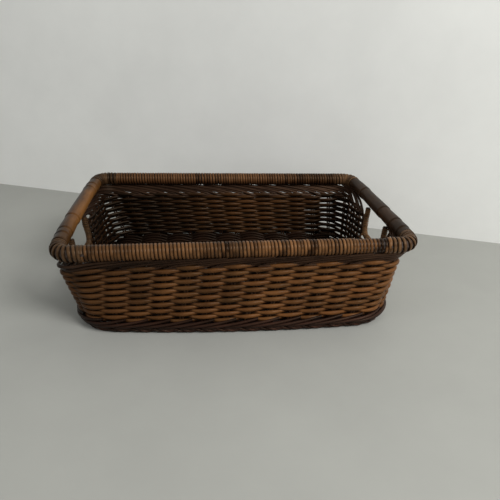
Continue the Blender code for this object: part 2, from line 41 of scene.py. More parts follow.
# Lengths are metres. An outline is a rounded rectangle: length, width and corner
# radius. It is walked counterclockwise from the middle of the front side, and a
# turn is one whole round.
basket = {
    "rimLine": (0.4288, 0.2898, 0.0154),
    "rimLineHeight": 0.1164,
    "footLine": (0.4094, 0.2704, 0.049),
    "topLine": (0.4162, 0.2772, 0.018),
    "footBow": 0.012,  # how far the long sides bow outwards at the foot
    "endBow": 0.0065,  # how far the ends bow outwards at the rim
    "rightCornerRise": 0.005,  # the front right corner stands higher than the left
    "leftCornerDrop": 0.0035,
    "size": (0.450, 0.311),
    "pulledCorner": (-0.205, -0.133, 0.0),  # the front left corner is drawn out at the top
    "cornerPull": 0.0075, "cornerPullWidth": 0.028,
    "firstRowHeight": 0.01756,  # the lowest side weaver
    "throatHeight": 0.0932,  # where the stakes start to slant outwards
    "throatOutset": 0.007, "stakeTop": 0.1055, "stakePairs": 46, "firstPairShare": 0.9,
    "holePairs": (10, 35), "holeReach": 2, "holePairShift": 0.10,
    "leanShare": 0.2, "leanHeight": 0.08775,
}
up = Vector((0, 0, 1))


# Places on the basket

def outlineLength(line):
    length, width, radius = line
    return 2 * (length + width) - 8 * radius + 2 * pi * radius


def outlinePlace(distance, line):
    length, width, radius = line
    arc = radius * pi / 2
    legs = (length - 2 * radius, width - 2 * radius) * 2
    signs = ((1, -1), (1, 1), (-1, 1), (-1, -1))
    left = (distance + legs[0] / 2) % outlineLength(line)
    for side, leg in enumerate(legs):
        heading = side * pi / 2
        along = Vector((cos(heading), sin(heading), 0))
        out = Vector((sin(heading), -cos(heading), 0))
        centre = Vector((signs[side][0] * (length / 2 - radius), signs[side][1] * (width / 2 - radius), 0))
        if left <= leg:
            return centre + out * radius + along * (left - leg), out
        left -= leg
        if left <= arc or side == 3:
            angle = heading - pi / 2 + left / radius
            out = Vector((cos(angle), sin(angle), 0))
            return centre + out * radius, out
        left -= arc


def stakeLine(height):
    share = min(max(height, 0), basket["stakeTop"]) / basket["stakeTop"]
    rise = max(0, height - basket["throatHeight"]) / (basket["stakeTop"] - basket["throatHeight"])
    spread = basket["throatOutset"] * rise
    length, width, radius = (foot + (top - foot) * share
                             for foot, top in zip(basket["footLine"], basket["topLine"]))
    return length + 2 * spread, width + 2 * spread, radius + spread


def bowAt(x, height):
    low = max(0, 1 - height / basket["throatHeight"])
    return basket["footBow"] * low * (1 - min(1, abs(2 * x / basket["footLine"][0])) ** 2)


def outOfTrue(place, height):
    # The long sides bow outwards towards the foot, and one top corner is drawn out
    bow = bowAt(place.x, height) * (1 if place.y > 0 else -1)
    fromCorner = (place - Vector(basket["pulledCorner"])).length / basket["cornerPullWidth"]
    pull = basket["cornerPull"] * min(1, height / basket["throatHeight"]) * exp(-fromCorner * fromCorner)
    return place + Vector((-pull, bow - pull, 0))


def wallPlace(turn, height, out=0.0, along=0.0):
    # The point and the outward direction, with the stakes' lean
    line = stakeLine(height)
    lean = basket["leanShare"] * (height - basket["leanHeight"])
    place, outward = outlinePlace(turn * outlineLength(line) + lean + along, line)
    return outOfTrue(place, height) + outward * out + up * height, outward


def pairTurn(pair):
    # The pairs beside a hand hole stand a little nearer to it
    def shift(whole):
        for hole in basket["holePairs"]:
            fromHole = whole % basket["stakePairs"] - hole
            if abs(fromHole) == basket["holeReach"]:
                return -basket["holePairShift"] * fromHole / basket["holeReach"]
        return 0
    low = int(pair // 1)
    part = pair - low
    moved = shift(low) * (1 - part) + shift(low + 1) * part
    return (pair + basket["firstPairShare"] + moved) / basket["stakePairs"]


def rimPlace(distance):
    # The middle of the rim there, with its along, out and up directions
    place, out = outlinePlace(distance, basket["rimLine"])
    return place + up * basket["rimLineHeight"], up.cross(out), out, up


def wander(where, seed):
    return noise.noise(Vector((where, seed * 7.31, 0.5)))


def handBent(place):
    # From the straight basket to the real one, as in the CAD model
    along, across = (2 * part / whole for part, whole in zip(place, basket["size"]))
    low = basket["firstRowHeight"]
    share = min(1, max(0, (place.z - low) / (basket["stakeTop"] - low)))
    bow = basket["endBow"] * min(1, abs(2 * place.x / basket["footLine"][0])) ** 3 * max(0, 1 - across ** 4)
    middleRise = (basket["rightCornerRise"] - basket["leftCornerDrop"]) / 2
    rise = middleRise + (basket["rightCornerRise"] + basket["leftCornerDrop"]) / 2 * along
    return place + Vector((bow if place.x > 0 else -bow, 0, rise * ((1 - across) / 2) ** 2)) * share


# Rods: each is a list of points (place, radius, tone, painted shade and marks, facing). One Geometry
# Nodes tree sweeps a rounded section along all of a piece's rods.

def linkNodes(tree, *pairs):
    for source, target in pairs:
        tree.links.new(source, target)


def makeSweepTree():
    tree = bpy.data.node_groups.new("sweptRods", "GeometryNodeTree")
    sockets = tree.interface
    inputs = {"Paths": "Geometry", "Sides": "Int", "Thickness Share": "Float", "Width Share": "Float",
              "Finish": "Material"}
    for name, kind in inputs.items():
        sockets.new_socket(name, in_out="INPUT", socket_type="NodeSocket" + kind)
    sockets.new_socket("Rods", in_out="OUTPUT", socket_type="NodeSocketGeometry")
    new = tree.nodes.new
    given = new("NodeGroupInput")
    toCurve = new("GeometryNodeMeshToCurve")
    setNormal = new("GeometryNodeSetCurveNormal")
    setNormal.mode = "FREE"
    facing, thickness = (new("GeometryNodeInputNamedAttribute") for _ in range(2))
    for node, kind, name in ((facing, "FLOAT_VECTOR", "facing"), (thickness, "FLOAT", "rodRadius")):
        node.data_type = kind
        node.inputs["Name"].default_value = name
    section = new("GeometryNodeCurvePrimitiveCircle")
    section.inputs["Radius"].default_value = 1.0
    position = new("GeometryNodeInputPosition")
    around = new("GeometryNodeStoreNamedAttribute")
    around.data_type = "FLOAT_VECTOR"
    around.domain = "POINT"
    around.inputs["Name"].default_value = "round"
    scale = new("ShaderNodeCombineXYZ")
    scale.inputs["Z"].default_value = 1.0
    flatten = new("GeometryNodeTransform")
    sweep = new("GeometryNodeCurveToMesh")
    sweep.inputs["Fill Caps"].default_value = True
    smooth = new("GeometryNodeSetShadeSmooth")
    realize = new("GeometryNodeRealizeInstances")
    finish = new("GeometryNodeSetMaterial")
    result = new("NodeGroupOutput")
    for source, output, target, socket in (
        (given, "Paths", toCurve, "Mesh"),
        (toCurve, "Curve", setNormal, "Curve"),
        (facing, "Attribute", setNormal, "Normal"),
        (thickness, "Attribute", sweep, "Scale"),
        (given, "Sides", section, "Resolution"),
        (section, "Curve", around, "Geometry"),
        (position, "Position", around, "Value"),
        (around, "Geometry", flatten, "Geometry"),
        (given, "Thickness Share", scale, "X"),
        (given, "Width Share", scale, "Y"),
        (scale, "Vector", flatten, "Scale"),
        (setNormal, "Curve", sweep, "Curve"),
        (flatten, "Geometry", sweep, "Profile Curve"),
        (sweep, "Mesh", smooth, "Geometry"),
        (smooth, "Geometry", realize, "Geometry"),
        (realize, "Geometry", finish, "Geometry"),
        (given, "Finish", finish, "Material"),
        (finish, "Geometry", result, "Rods"),
    ):
        tree.links.new(source.outputs[output], target.inputs[socket])
    return tree


sweepTree = makeSweepTree()


def addObject(name, data):
    added = bpy.data.objects.new(name, data)
    bpy.context.collection.objects.link(added)
    return added


def giveAttribute(mesh, name, kind, values):
    layer = mesh.attributes.new(name, kind, "POINT")
    field = "vector" if kind == "FLOAT_VECTOR" else "value"
    layer.data.foreach_set(field, values)


streakShift = 0.37  # metres along the streaks from one rod of a piece to the next


def sweepRods(name, rods, finish, sides=8, thickness=1.0, width=1.0):
    places, edges, measures, facings = [], [], [], []
    for number, rod in enumerate(rods):
        run = number * streakShift
        for count, (place, radius, tone, paintedShadeAndMarks, facing) in enumerate(rod):
            if count:
                run += (place - rod[count - 1][0]).length
                edges.append((len(places) - 1, len(places)))
            places.append(handBent(place))
            measures.append((radius, tone, paintedShadeAndMarks, run))
            facings.extend(facing)
    paths = bpy.data.meshes.new(name + "Paths")
    paths.from_pydata(places, edges, [])
    for label, values in zip(("rodRadius", "tone", "paintedShadeAndMarks", "along"), zip(*measures)):
        giveAttribute(paths, label, "FLOAT", values)
    giveAttribute(paths, "facing", "FLOAT_VECTOR", facings)
    holder = addObject(name + "Paths", paths)
    modifier = holder.modifiers.new("sweep", "NODES")
    modifier.node_group = sweepTree
    values = {"Sides": sides, "Thickness Share": thickness, "Width Share": width, "Finish": finish}
    for socket in sweepTree.interface.items_tree:
        if socket.in_out == "INPUT" and socket.name in values:
            modifier[socket.identifier] = values[socket.name]
    return plainMesh(name, holder)


def plainMesh(name, holder):
    graph = bpy.context.evaluated_depsgraph_get()
    data = bpy.data.meshes.new_from_object(
        holder.evaluated_get(graph), preserve_all_data_layers=True, depsgraph=graph)
    data.name = name
    oldData = holder.data
    bpy.data.objects.remove(holder, do_unlink=True)
    bpy.data.meshes.remove(oldData)
    return addObject(name, data)


def settle(piece, slotName, *nodes):
    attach(piece, "root")
    if nodes:
        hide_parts(*nodes)


# Finishes

def newMaterial(name):
    material = bpy.data.materials.new(name)
    material.use_nodes = True
    return material, material.node_tree, material.node_tree.nodes["Principled BSDF"]


def addNode(tree, kind, **values):
    node = tree.nodes.new("ShaderNode" + kind)
    for name, value in values.items():
        setattr(node, name, value)
    return node


def ramp(tree, source, stops):
    stops = list(stops)
    node = addNode(tree, "ValToRGB")
    elements = node.color_ramp.elements
    while len(elements) < len(stops):
        elements.new(0.5)
    for element, (place, colour) in zip(elements, stops):
        element.position = place
        element.color = (*colour, 1.0)
    tree.links.new(source, node.inputs["Fac"])
    return node.outputs["Color"]


def feed(tree, socket, value):
    if isinstance(value, (int, float)):
        socket.default_value = value
    elif isinstance(value, tuple):
        socket.default_value = (*value, 1.0)
    elif value is not None:
        tree.links.new(value, socket)


def maths(tree, operation, first, second=None, third=None, clamp=False):
    node = addNode(tree, "Math", operation=operation, use_clamp=clamp)
    for socket, value in zip(node.inputs, (first, second, third)):
        feed(tree, socket, value)
    return node.outputs["Value"]


def times(tree, first, second):
    return maths(tree, "MULTIPLY", first, second)


def mixColour(tree, share, first, second, blend="MIX"):
    node = addNode(tree, "Mix", data_type="RGBA", blend_type=blend)
    for count, value in ((0, share), (6, first), (7, second)):
        feed(tree, node.inputs[count], value)
    return node.outputs[2]


def noiseField(tree, vector, scale, detail, roughness=0.6):
    node = addNode(tree, "TexNoise")
    for name, value in (("Scale", scale), ("Detail", detail), ("Roughness", roughness)):
        node.inputs[name].default_value = value
    tree.links.new(vector, node.inputs["Vector"])
    return node.outputs["Fac"]


def objectPlaceOf(tree):
    return addNode(tree, "TexCoord").outputs["Object"]


def attribute(tree, name, output):
    return addNode(tree, "Attribute", attribute_name=name).outputs[output]


def addShine(shader, look):
    names = {"shine": "Specular IOR Level", "shineTint": "Specular Tint",
             "varnish": "Coat Weight", "varnishRoughness": "Coat Roughness"}
    for key, name in names.items():
        if key in look:
            shader.inputs[name].default_value = look[key]


def addBump(tree, shader, height, look):
    bump = addNode(tree, "Bump")
    bump.inputs["Strength"].default_value = look["bump"]
    bump.inputs["Distance"].default_value = look["bumpDistance"]
    linkNodes(tree, (height, bump.inputs["Height"]), (bump.outputs["Normal"], shader.inputs["Normal"]))


def partsOf(tree, vector):
    node = addNode(tree, "SeparateXYZ")
    tree.links.new(vector, node.inputs[0])
    return node.outputs


def greyOf(tree, value):
    node = addNode(tree, "CombineColor")
    for channel in node.inputs:
        tree.links.new(value, channel)
    return node.outputs["Color"]


def shareOf(tree, value, gain, shift):
    # A straight rise, kept between nothing and one
    return maths(tree, "MULTIPLY_ADD", value, gain, shift, clamp=True)


# Settings for the rods' painted shade: hidden faces at crossings, the inside, the left end and the grooves
shading = {
    "turnGain": 2.0, "turnShift": 0.6,        # how fast a rod's side turns away from the open side
    "crestGain": 1.7, "crestShift": 1.12,     # how much of a crest is in the open
    "insideGain": -1.8, "insideDepth": -0.94, "endsGain": 2.6, "brightPlace": 0.03,
    "leftGain": 1.9, "leftShift": 0.92, "rightShift": 0.98, "groovePaintedShadeDepth": 0.97,
}


def rodFinish(name, look):
    # A stained rod: lengthwise streaks, blotches, a tone for each rod, rubbed crests, and painted shade on
    # hidden faces, inside, towards the left and in grooves
    material, tree, shader = newMaterial(name)
    objectPlace = objectPlaceOf(tree)
    roundParts = partsOf(tree, attribute(tree, "round", "Vector"))
    streakPlace = addNode(tree, "CombineXYZ")
    for socket, part, density in zip(
            streakPlace.inputs, (roundParts["X"], roundParts["Y"], attribute(tree, "along", "Fac")),
            ("streakFineness", "streakFineness", "streaksPerMetre")):
        tree.links.new(times(tree, part, look[density]), socket)
    streak = noiseField(tree, streakPlace.outputs["Vector"], 1.0, 4.0, 0.7)
    blotch = noiseField(tree, objectPlace, look["blotchesPerMetre"], 3.0)
    tone = attribute(tree, "tone", "Fac")
    paintedShadeAndMarks = attribute(tree, "paintedShadeAndMarks", "Fac")
    shade = times(tree, tone, look["toneShare"])
    shade = maths(tree, "MULTIPLY_ADD", streak, look["streakShare"], shade)
    shade = maths(tree, "MULTIPLY_ADD", blotch, look["blotchShare"], shade)
    shade = maths(tree, "SUBTRACT", shade, look["darker"], clamp=True)
    colour = ramp(tree, shade, zip(look["rampPlaces"], (look["dark"], look["mid"], look["light"])))
    facing = roundParts["X"]
    if look.get("woven"):
        # Here the rod's painted shade value starts as the side of the wall that the rod is on, from inside to
        # outside, and gives painted shade on the faces turned away from that side
        towards = maths(tree, "MULTIPLY_ADD", facing, shading["turnGain"], shading["turnShift"])
        towards = maths(tree, "MAXIMUM", maths(tree, "MINIMUM", towards, 1.0), -1.0)
        paintedShadeAndMarks = times(tree, paintedShadeAndMarks, towards)
        paintedShadeAndMarks = shareOf(tree, paintedShadeAndMarks, shading["crestGain"], shading["crestShift"])
    rubbed = times(tree, blotch, look["rubShare"])
    rubbed = times(tree, maths(tree, "POWER", paintedShadeAndMarks, 2.0), rubbed)
    colour = mixColour(tree, rubbed, colour, look["rubbed"])
    # Painted shade: the less of a part is in the open, the darker it is
    paintedShade = shareOf(tree, paintedShadeAndMarks, 1 - look["paintedShade"], look["paintedShade"])
    sideways = partsOf(tree, objectPlace)["X"]
    if look.get("insidePaintedShade"):
        # Painted shade: the inward face of a rod is darker, most of all towards the two ends
        inner = maths(tree, "MULTIPLY", facing, shading["insideGain"], clamp=True)
        fromBright = maths(tree, "SUBTRACT", sideways, shading["brightPlace"])
        ends = shareOf(tree, maths(tree, "ABSOLUTE", fromBright), shading["endsGain"], look["insidePaintedShade"])
        inside = times(tree, inner, ends)
        inside = maths(tree, "MULTIPLY_ADD", inside, shading["insideDepth"], 1.0)
        paintedShade = times(tree, paintedShade, inside)
    # Painted shade: everything is a little darker towards the left, away from the window light
    leftPaintedShade = shareOf(tree, sideways, shading["leftGain"], shading["leftShift"])
    paintedShade = times(tree, paintedShade, leftPaintedShade)
    # Painted shade: darker towards the right
    if look.get("rightPaintedShade"):
        rightward = shareOf(tree, sideways, -look["rightPaintedShade"], shading["rightShift"])
        paintedShade = times(tree, paintedShade, rightward)
    # Painted shade in the grooves between turns of cane, at the strip's two edges
    if look.get("grooved"):
        edge = maths(tree, "POWER", maths(tree, "ABSOLUTE", roundParts["Y"]), look["grooved"])
        groove = maths(tree, "SUBTRACT", 1.0, times(tree, edge, shading["groovePaintedShadeDepth"]))
        paintedShade = times(tree, paintedShade, groove)
    colour = mixColour(tree, 1.0, colour, greyOf(tree, paintedShade), "MULTIPLY")
    dullest = look["gloss"] - look["glossSpread"] / 2
    gloss = maths(tree, "MULTIPLY_ADD", streak, look["glossSpread"], dullest)
    linkNodes(tree, (colour, shader.inputs["Base Color"]), (gloss, shader.inputs["Roughness"]))
    addShine(shader, look)
    addBump(tree, shader, streak, look)
    return material


rodLook = {
    "dark": (0.005, 0.0019, 0.0009), "mid": (0.040, 0.0122, 0.0034), "light": (0.118, 0.041, 0.0115),
    "rubbed": (0.24, 0.11, 0.036), "rubShare": 0.5, "paintedShade": 0.12, "darker": 0.465,
    "streakFineness": 2.4, "streaksPerMetre": 45.0, "streakShare": 0.85, "toneShare": 0.60,
    "blotchesPerMetre": 38.0, "blotchShare": 0.45,
    "gloss": 0.42, "glossSpread": 0.25, "shine": 0.15, "shineTint": (1.0, 0.72, 0.48, 1.0),
    "varnish": 0.02, "varnishRoughness": 0.15, "bump": 0.5, "bumpDistance": 0.0004,
    "rampPlaces": (0.12, 0.45, 0.85),
}
# The weaver's stain, with painted shade on the inside
weaverFinish = rodFinish("stainedPaintedShadeWeaver", {**rodLook, "woven": True, "insidePaintedShade": 0.58})
stakeFinish = rodFinish("darkStake", {
    **rodLook, "dark": (0.004, 0.0022, 0.0016), "mid": (0.017, 0.0070, 0.0042),
    "light": (0.055, 0.026, 0.014), "rubbed": (0.10, 0.058, 0.034), "rubShare": 0.3})
footFinish = rodFinish("redDarkFoot", {
    **rodLook, "dark": (0.0030, 0.0012, 0.0008), "mid": (0.012, 0.0042, 0.0026),
    "light": (0.050, 0.019, 0.012), "rubbed": (0.12, 0.056, 0.038), "rubShare": 0.4, "paintedShade": 0.06})
baseFinish = rodFinish("baseRod", {
    **rodLook, "dark": (0.003, 0.0015, 0.001), "mid": (0.008, 0.0034, 0.0018), "light": (0.026, 0.011, 0.006),
    "rubbed": (0.05, 0.026, 0.015), "rubShare": 0.3, "shine": 0.08})
caneLook = {
    **rodLook, "dark": (0.010, 0.004, 0.0016), "mid": (0.047, 0.0175, 0.0056), "light": (0.175, 0.076, 0.027),
    "rubbed": (0.32, 0.170, 0.074), "rubShare": 0.4, "paintedShade": 0.30, "darker": 0.28,
    "streakFineness": 2.2, "streaksPerMetre": 60.0, "grooved": 2.0, "gloss": 0.36, "bump": 0.5}
rimCaneFinish = rodFinish("rimCane", caneLook)
# The back rim's cane is a darker copy of the rim cane as painted shade, darker again towards the right
backPaintedShadeCaneFinish = rodFinish("backRimCane", {
    **caneLook, "dark": (0.007, 0.0025, 0.0012), "mid": (0.036, 0.0115, 0.0040),
    "light": (0.135, 0.054, 0.020), "rightPaintedShade": 3.4})
cornerCaneFinish = rodFinish("cornerCane", {
    **caneLook, "mid": (0.032, 0.0135, 0.0060), "light": (0.115, 0.060, 0.028), "gloss": 0.36})
holeCaneFinish = rodFinish("holeCane", {
    **caneLook, "mid": (0.052, 0.022, 0.009), "light": (0.14, 0.070, 0.030)})
print("finishes made")

# Side weavers, one rod a row. A row passes outside a pair where pair + row is odd.
weavers = {
    "rowPitch": 0.00455, "lowerRows": 9, "allRows": 17,
    "swing": 0.0026, "backSwing": 0.0018, "radius": 0.0021, "crestSwell": 0.00075, "stepsPerPair": 8,
    "rise": 0.0005, "crestLift": 0.0006, "wave": 0.0007, "turnReach": 0.0054, "turnSteps": 5, "seam": 0.06,
    "uneven": 0.00022, "swingUneven": 0.08, "lowRows": 5, "lowThickness": 0.93, "lowWave": 0.9,
    "closePairs": 4.5, "closeEase": 2,  # the close weave in the middle of the back side
    "tone": 0.55, "toneVary": 0.75, "tonePatches": 0.35, "section": (10, 0.92, 1.1),
}


def sideOf(pair, row):
    # One outside a pair, minus one inside it
    return cos(pi * (pair + row + 1))


def weaverPoint(pair, row, height, out, along=0.0):
    side = sideOf(pair, row)
    turn = pairTurn(pair)
    place, outward = wallPlace(turn, height, out, along)
    radius = weavers["radius"] + weavers["crestSwell"] * abs(side)
    radius += weavers["uneven"] * wander(pair * 1.3, row + 40)
    if row < weavers["lowRows"]:
        radius *= weavers["lowThickness"]
    tone = weavers["tone"] + weavers["toneVary"] * wander(pair * 0.09, row + 3)
    tone += weavers["tonePatches"] * wander(pair * 0.9, row + 90)
    return place, radius, tone, side, outward


def weaverHeight(pair, row):
    loose = 1.0 + weavers["lowWave"] * max(0, weavers["lowRows"] - row) / weavers["lowRows"]
    height = basket["firstRowHeight"] + row * weavers["rowPitch"]
    height += weavers["wave"] * loose * wander(pair * 0.45, row * 0.35 + 11)
    height += weavers["crestLift"] * (2 * loosenessAt(pair) - 1) * sideOf(pair, row)
    return height + weavers["rise"] * loosenessAt(pair) * sin(pi * (pair + row + 1))


def loosenessAt(pair):
    # The middle of the back side is woven flatter and closer than the rest
    fromBack = abs(pair % basket["stakePairs"] - basket["stakePairs"] / 2) - weavers["closePairs"]
    return min(max(fromBack / weavers["closeEase"], 0), 1)


def weaverRun(row, start, end):
    steps = max(1, round(abs(end - start) * weavers["stepsPerPair"]))
    run = []
    for step in range(steps + 1):
        pair = start + (end - start) * step / steps
        swing = weavers["backSwing"] + (weavers["swing"] - weavers["backSwing"]) * loosenessAt(pair)
        uneven = 1 + weavers["swingUneven"] * wander(pair * 0.7, row + 60)
        out = swing * sideOf(pair, row) * uneven
        run.append(weaverPoint(pair, row, weaverHeight(pair, row), out))
    return run


def weaverTurn(row, pair, heading):
    # The rod turns back round the last pair beside a hand hole
    side = sideOf(pair, row)
    first, last = weaverHeight(pair, row), weaverHeight(pair, row + 1)
    turn = []
    for step in range(1, weavers["turnSteps"]):
        share = step / weavers["turnSteps"]
        out = side * weavers["swing"] * cos(pi * share)
        along = heading * weavers["turnReach"] * sin(pi * share)
        turn.append(weaverPoint(pair, row, first + (last - first) * share, out, along))
    return turn


def makeWeavers():
    pairs, reach = basket["stakePairs"], basket["holeReach"]
    right, left = basket["holePairs"]
    for row in range(weavers["lowerRows"]):
        first = left - reach + (left + row) % 2
        rod = weaverRun(row, first + weavers["seam"], first + pairs - weavers["seam"])
        piece = sweepRods(f"lowerWeaver{row + 1:02d}", [rod], weaverFinish, *weavers["section"])
        settle(piece, "lower_rod", f"lower_weaver_{row + 1:02d}")
    for side, fromHole, toHole in (("front", left - pairs, right), ("back", right, left)):
        ends = [fromHole + reach, toHole - reach]
        rod = []
        for row in range(weavers["lowerRows"], weavers["allRows"]):
            rod += weaverRun(row, *ends)
            if row < weavers["allRows"] - 1:
                rod += weaverTurn(row, ends[1], 1 if ends[1] > ends[0] else -1)
            ends.reverse()
        piece = sweepRods(side + "UpperWeaver", [rod], weaverFinish, *weavers["section"])
        settle(piece, "upper_rod", side + "_upper_weaver")
    print("side weavers made")


makeWeavers()

# Upright stakes in pairs. Their tops slant along under the rim to the next pairs.
stakes = {
    "radius": 0.0013, "offset": 0.0017, "foot": 0.0115, "cutTop": 0.0612, "topRadius": 0.0021,
    "topReach": 3.5, "topSteps": 16, "uprightSteps": 9, "topHeight": 0.1066, "topLayer": 0.0013,
    "slantStart": 0.0895, "laterShare": 0.2, "slantPower": 0.6, "layerEase": 3,
    "uneven": 0.0004, "topUneven": 0.0008, "lastReach": 0.36, "nextReach": 1.3, "reachVary": 0.25,
    "tone": 0.55, "toneVary": 0.5, "paintedShadeAndMarks": 0.8, "topTone": 0.1, "topShow": 0.9,
}
cornerPairs = (6, 16, 29, 39)  # front right, back right, back left, front left


def stakeRod(pair, hand, top, reach):
    seed = pair * 2 + (hand > 0)
    spacing = outlineLength(stakeLine(basket["throatHeight"])) / basket["stakePairs"]
    tone = stakes["tone"] + stakes["toneVary"] * wander(seed * 1.7, 5)
    rod = []
    for step in range(stakes["uprightSteps"] + 1):
        height = stakes["foot"] + (top - stakes["foot"]) * step / stakes["uprightSteps"]
        along = hand * stakes["offset"] + stakes["uneven"] * wander(height * 60, seed)
        place, outward = wallPlace(pairTurn(pair), height, 0.0, along)
        rod.append((place, stakes["radius"], tone, stakes["paintedShadeAndMarks"], outward))
    if reach:
        for step in range(1, stakes["topSteps"] + 1):
            share = step / stakes["topSteps"]
            # One stake of a pair starts to slant a little after the other
            later = stakes["laterShare"] if hand < 0 else 0
            slanted = (max(0, share - later) / (1 - later)) ** stakes["slantPower"]
            rise = slanted * (stakes["topHeight"] - top)
            lift = stakes["topUneven"] * wander(share * 2, seed + 30)
            along = hand * stakes["offset"] + share * reach * spacing
            out = hand * stakes["topLayer"] * min(1, share * stakes["layerEase"]) + lift
            place, outward = wallPlace(pairTurn(pair), top + rise, out, along)
            rod.append((place, stakes["topRadius"], tone + stakes["topTone"], stakes["topShow"], outward))
    return rod


def topReach(pair):
    # Beside a hand hole the tops stop at the last pair
    for hole in basket["holePairs"]:
        if pair == hole - basket["holeReach"]:
            return stakes["lastReach"]
        if pair == hole - basket["holeReach"] - 1:
            return stakes["nextReach"]
    return stakes["topReach"] + stakes["reachVary"] * wander(pair * 3.1, 8)


def makeStakes():
    pairs, reach = basket["stakePairs"], basket["holeReach"]
    frontRight, backRight, backLeft, frontLeft = cornerPairs
    right, left = basket["holePairs"]
    sides = {
        "front": ("front", frontLeft + 1 - pairs, frontRight),
        "rightFront": ("right_front", frontRight, right - reach + 1),
        "rightBack": ("right_back", right + reach, backRight + 1),
        "back": ("back", backRight + 1, backLeft),
        "leftBack": ("left_back", backLeft, left - reach + 1),
        "leftFront": ("left_front", left + reach, frontLeft + 1),
    }
    for side, (node, first, last) in sides.items():
        rods = [stakeRod(pair, hand, stakes["slantStart"], topReach(pair % pairs))
                for pair in range(first, last) for hand in (-1, 1)]
        settle(sweepRods(side + "Stakes", rods, stakeFinish), "stake_rod", node + "_stake_rod")
    for side, middle in (("right", right), ("left", left)):
        rods = [stakeRod(pair, hand, stakes["cutTop"], 0)
                for pair in range(middle - reach + 1, middle + reach) for hand in (-1, 1)]
        settle(sweepRods(side + "SillStakes", rods, stakeFinish), "stake_rod", side + "_sill_stake_rod")
    print("stakes made")


makeStakes()


# Cane winding: one flat strip goes round and round what it covers
caneWear = {"tone": 0.55, "turnVary": 0.8, "stretchVary": 0.6, "paintedShadeAndMarks": 0.85, "showVary": 0.3}


def windCane(placeAt, start, end, cane, seed):
    strip = []
    distance, turn = start, 0
    while distance < end:
        width = cane["pitch"] * (1 + cane["vary"] * wander(turn * 0.83, seed))
        tone = caneWear["tone"] + caneWear["turnVary"] * wander(turn * 0.77, seed + 5)
        tone += caneWear["stretchVary"] * wander(turn * 0.07, seed + 9)
        swell = cane["lift"] * wander(turn * 0.61, seed + 2)
        shown = caneWear["paintedShadeAndMarks"]
        for first, last, toneShift, showShift, lift in cane.get("marks", ()):
            if first <= distance < last:
                tone, shown, swell = tone + toneShift, shown + showShift, swell + lift
        for step in range(cane["stepsPerTurn"]):
            share = step / cane["stepsPerTurn"]
            centre, along, out, above = placeAt(min(distance + width * share, end))
            angle = -2 * pi * share
            facing = out * cos(angle) + above * sin(angle)
            place = centre + facing * (cane["outer"] - cane["thickness"] / 2 + swell)
            paintedShadeAndMarks = shown + caneWear["showVary"] * wander(turn + share * 3, seed)
            # Painted shade on the strip's underside, where asked for
            paintedShadeAndMarks -= cane.get("underPaintedShade", 0) * max(0, -facing.z)
            strip.append((place, cane["pitch"] / 2, tone, paintedShadeAndMarks, facing))
        distance += width
        turn += 1
    return strip


rimCane = {
    "pitch": 0.0043, "vary": 0.24, "lift": 0.00020, "outer": 0.0102, "thickness": 0.0021,
    "stepsPerTurn": 18, "straight": 0.1849, "endGap": 0.0006, "handleHalf": 0.120,
}
cornerCane = {**rimCane, "pitch": 0.0050, "lift": 0.0004, "vary": 0.22}
# Painted shade on the underside of the back rim's cane
backUnderPaintedShade = 0.9
# Along the front rim: dark joints, a dull turn and a worn stretch. Each is from, to,
# then how much the tone, the brightness and the height change.
frontMarks = (
    (-0.024, -0.019, -0.1, -0.55, 0.0), (0.083, 0.091, -0.2, -0.5, 0.0),
    (0.100, 0.105, 0.0, -0.3, 0.0),
    (0.139, 0.170, 0.25, -0.25, -0.0009), (0.170, 0.178, -0.2, -0.6, -0.0009),
)


def makeRimCane():
    half = outlineLength(basket["rimLine"]) / 2
    flatness = rimCane["thickness"] / rimCane["pitch"]
    for side, middle, seed in (("front", 0, 1), ("back", half, 2)):
        own = {"marks": frontMarks} if side == "front" else {"underPaintedShade": backUnderPaintedShade}
        start, end = middle - rimCane["straight"], middle + rimCane["straight"]
        strip = windCane(rimPlace, start, end, {**rimCane, **own}, seed)
        finish = rimCaneFinish if side == "front" else backPaintedShadeCaneFinish
        piece = sweepRods(side + "RimCane", [strip], finish, thickness=flatness)
        settle(piece, "long_cane", side + "_rim_binding")
    near = rimCane["straight"] + rimCane["endGap"]
    far = half / 2 - rimCane["handleHalf"]
    spans = {
        "frontRight": ("front_right", near, far), "backRight": ("back_right", half - far, half - near),
        "backLeft": ("back_left", half + near, half + far), "frontLeft": ("front_left", -far, -near),
    }
    for seed, (name, (node, start, end)) in enumerate(spans.items()):
        strip = windCane(rimPlace, start, end, cornerCane, seed + 20)
        piece = sweepRods(name + "CornerCane", [strip], cornerCaneFinish, thickness=flatness)
        settle(piece, "corner_cane", node + "_corner_binding")
    print("rim cane wound")


makeRimCane()

# Handles: overlapping bands of smooth bark round the middle of the two end poles
handles = {
    "half": 0.1195, "outer": 0.0105, "bore": 0.0090, "step": 0.0010, "sides": 40, "rings": 150,
    "groove": 0.0008, "grooveWidth": 0.0007, "groovePaintedShade": 0.75, "clearance": 0.0002,
    "askew": 0.0012, "askewPerMetre": 30, "uneven": 0.00018, "leftInnerPaintedLight": 0.62, "rightInnerPaintedLight": 0.15,
    "tone": 0.5, "toneVary": 0.5, "endTone": 0.4, "endShow": 0.3,
    "dullEnds": ((-0.056, -1, 0.72), (0.055, 1, 0.5)), "dullLength": 0.045,
    "leftBands": (-0.1195, -0.101, -0.086, -0.040, 0.075, 0.092, 0.1195),
    "rightBands": (-0.1195, -0.104, -0.074, -0.026, 0.064, 0.1195),
}


